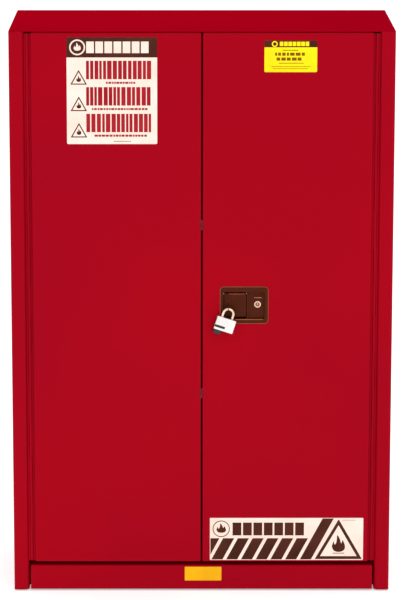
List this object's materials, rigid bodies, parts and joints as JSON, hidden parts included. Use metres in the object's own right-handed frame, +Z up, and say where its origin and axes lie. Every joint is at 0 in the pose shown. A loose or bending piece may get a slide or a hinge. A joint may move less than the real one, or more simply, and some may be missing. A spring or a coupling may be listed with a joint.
{
  "type": "flammable storage cabinet",
  "caption": "Red double-wall steel safety cabinet: hinged doors, lift-up paddle latch with padlock, spill shelves, leakproof sump, capped vents and levelling feet.",
  "frame": {"origin": "middle of the footprint's box at floor level, with the padlock that stands out in front counted in it", "axes": "+Z up, the doors face -Y, +X to the right of someone facing the doors"},
  "size_m": [1.131, 0.483, 1.651],
  "materials": {
    "red_paint": "glossy powder coat",
    "zinc_steel": "galvanised",
    "bright_steel": "bright zinc plate",
    "earth_brass": "plain",
    "screen_steel": "woven mesh",
    "gasket_rubber": "matte",
    "cap_steel": "zinc plated",
    "handle_black": "satin dark brown-black",
    "lock_chrome": "polished",
    "padlock_steel": "brushed nickel",
    "black_plastic": "matte",
    "cream_label": "printed vinyl",
    "yellow_label": "printed vinyl",
    "amber_label": "printed vinyl"
  },
  "bodies": {
    "cabinet": {"outer_left_side": "red_paint", "outer_right_side": "red_paint", "outer_back": "red_paint", "top_panel": "red_paint", "base_panel": "red_paint", "inner_left_side": "red_paint", "inner_right_side": "red_paint", "inner_back": "red_paint", "ceiling_panel": "red_paint", "sump_pan": "red_paint", "header": "red_paint", "bottom_rail": "red_paint", "latch_strikes": "zinc_steel", "hinge_posts": "red_paint", "left_hinge_frame_leaf": "red_paint", "right_hinge_frame_leaf": "red_paint", "hinge_pins": "bright_steel", "shelf_standards": "zinc_steel", "shelf_clips": "zinc_steel", "vent_collars": "red_paint", "vent_gaskets": "gasket_rubber", "flame_arresters": "screen_steel", "earth_stud": "earth_brass", "foot_brackets": "zinc_steel", "rail_label": "amber_label"},
    "left_door": {"left_door_outer": "red_paint", "left_door_inner": "red_paint", "left_door_stiffener": "red_paint", "left_hinge_door_leaf": "red_paint", "centre_strike": "zinc_steel", "left_label": "cream_label"},
    "right_door": {"right_door_outer": "red_paint", "right_door_inner": "red_paint", "right_door_stiffener": "red_paint", "right_hinge_door_leaf": "red_paint", "paddle_housing": "handle_black", "paddle_pin": "bright_steel", "paddle_spring": "bright_steel", "cam_stud": "bright_steel", "rod_guides": "zinc_steel", "right_label": "yellow_label", "lower_label": "cream_label"},
    "paddle": {"paddle_handle": "handle_black"},
    "cam": {"latch_cam": "bright_steel"},
    "top_rod": {"upper_rod": "bright_steel"},
    "bottom_rod": {"lower_rod": "bright_steel"},
    "bolt": {"centre_bolt": "bright_steel"},
    "key_lock": {"key_cylinder": "lock_chrome", "lock_tongue": "bright_steel"},
    "shackle": {"padlock_shackle": "lock_chrome"},
    "padlock": {"padlock_body": "padlock_steel", "padlock_bumper": "black_plastic"},
    "shelf_bottom": {"lower_shelf": "zinc_steel"},
    "shelf_top": {"upper_shelf": "zinc_steel"},
    "left_vent_cap": {"vent_cap_left": "cap_steel"},
    "right_vent_cap": {"vent_cap_right": "cap_steel"},
    "front_left_foot": {"foot_front_left": "bright_steel"},
    "back_left_foot": {"foot_back_left": "bright_steel"},
    "front_right_foot": {"foot_front_right": "bright_steel"},
    "back_right_foot": {"foot_back_right": "bright_steel"}
  },
  "joints": [
    {"name": "left_door_hinge", "type": "hinge", "parent": "cabinet", "child": "left_door", "pos_m": [-0.495, -0.2125, 0.8], "axis": [0, 0, -1], "range_deg": [0, 140]},
    {"name": "right_door_hinge", "type": "hinge", "parent": "cabinet", "child": "right_door", "pos_m": [0.495, -0.2125, 0.8], "axis": [0, 0, 1], "range_deg": [0, 140]},
    {"name": "paddle_lift", "type": "hinge", "parent": "right_door", "child": "paddle", "pos_m": [0.0955, -0.2055, 0.89], "axis": [-1, 0, 0], "range_deg": [0, 35], "stiffness_Nm_per_rad": 0.8, "springref_deg": -22.92},
    {"name": "cam_turn", "type": "hinge", "parent": "right_door", "child": "cam", "pos_m": [0.112, -0.1855, 0.8724], "axis": [0, -1, 0], "range_deg": [0, 30]},
    {"name": "top_rod_slide", "type": "slide", "parent": "right_door", "child": "top_rod", "axis": [0, 0, -1], "range_m": [0, 0.01553]},
    {"name": "bottom_rod_slide", "type": "slide", "parent": "right_door", "child": "bottom_rod", "axis": [0, 0, 1], "range_m": [0, 0.01553]},
    {"name": "bolt_slide", "type": "slide", "parent": "right_door", "child": "bolt", "axis": [1, 0, 0], "range_m": [0, 0.01553]},
    {"name": "key_turn", "type": "hinge", "parent": "right_door", "child": "key_lock", "pos_m": [0.16, -0.1955, 0.8595], "axis": [0, -1, 0], "range_deg": [0, 90]},
    {"name": "padlock_swing", "type": "hinge", "parent": "paddle", "child": "shackle", "pos_m": [0.076, -0.2305, 0.8496], "axis": [-1, 0, 0], "range_deg": [0, 70]},
    {"name": "padlock_pull", "type": "slide", "parent": "shackle", "child": "padlock", "axis": [-0.309, 0, -0.9511], "range_m": [0, 0.012]},
    {"name": "lower_shelf_lift", "type": "slide", "parent": "cabinet", "child": "shelf_bottom", "axis": [0, 0, 1], "range_m": [0, 0.06]},
    {"name": "upper_shelf_lift", "type": "slide", "parent": "cabinet", "child": "shelf_top", "axis": [0, 0, 1], "range_m": [0, 0.06]},
    {"name": "left_vent_turn", "type": "hinge", "parent": "cabinet", "child": "left_vent_cap", "pos_m": [-0.55, 0.1215, 0.23], "axis": [1, 0, 0], "continuous": true},
    {"name": "right_vent_turn", "type": "hinge", "parent": "cabinet", "child": "right_vent_cap", "pos_m": [0.55, 0.1215, 1.45], "axis": [1, 0, 0], "continuous": true},
    {"name": "front_left_foot_turn", "type": "hinge", "parent": "cabinet", "child": "front_left_foot", "pos_m": [-0.501, -0.1245, 0.02], "axis": [0, 0, 1], "continuous": true},
    {"name": "back_left_foot_turn", "type": "hinge", "parent": "cabinet", "child": "back_left_foot", "pos_m": [-0.501, 0.1965, 0.02], "axis": [0, 0, 1], "continuous": true},
    {"name": "front_right_foot_turn", "type": "hinge", "parent": "cabinet", "child": "front_right_foot", "pos_m": [0.501, -0.1245, 0.02], "axis": [0, 0, 1], "continuous": true},
    {"name": "back_right_foot_turn", "type": "hinge", "parent": "cabinet", "child": "back_right_foot", "pos_m": [0.501, 0.1965, 0.02], "axis": [0, 0, 1], "continuous": true}
  ],
  "couplings": [
    {"joint": "cam_turn", "follows": "paddle_lift", "ratio": 0.85714},
    {"joint": "top_rod_slide", "follows": "paddle_lift", "m_per_rad": 0.025423},
    {"joint": "bottom_rod_slide", "follows": "paddle_lift", "m_per_rad": 0.025423},
    {"joint": "bolt_slide", "follows": "paddle_lift", "m_per_rad": 0.025423}
  ]
}
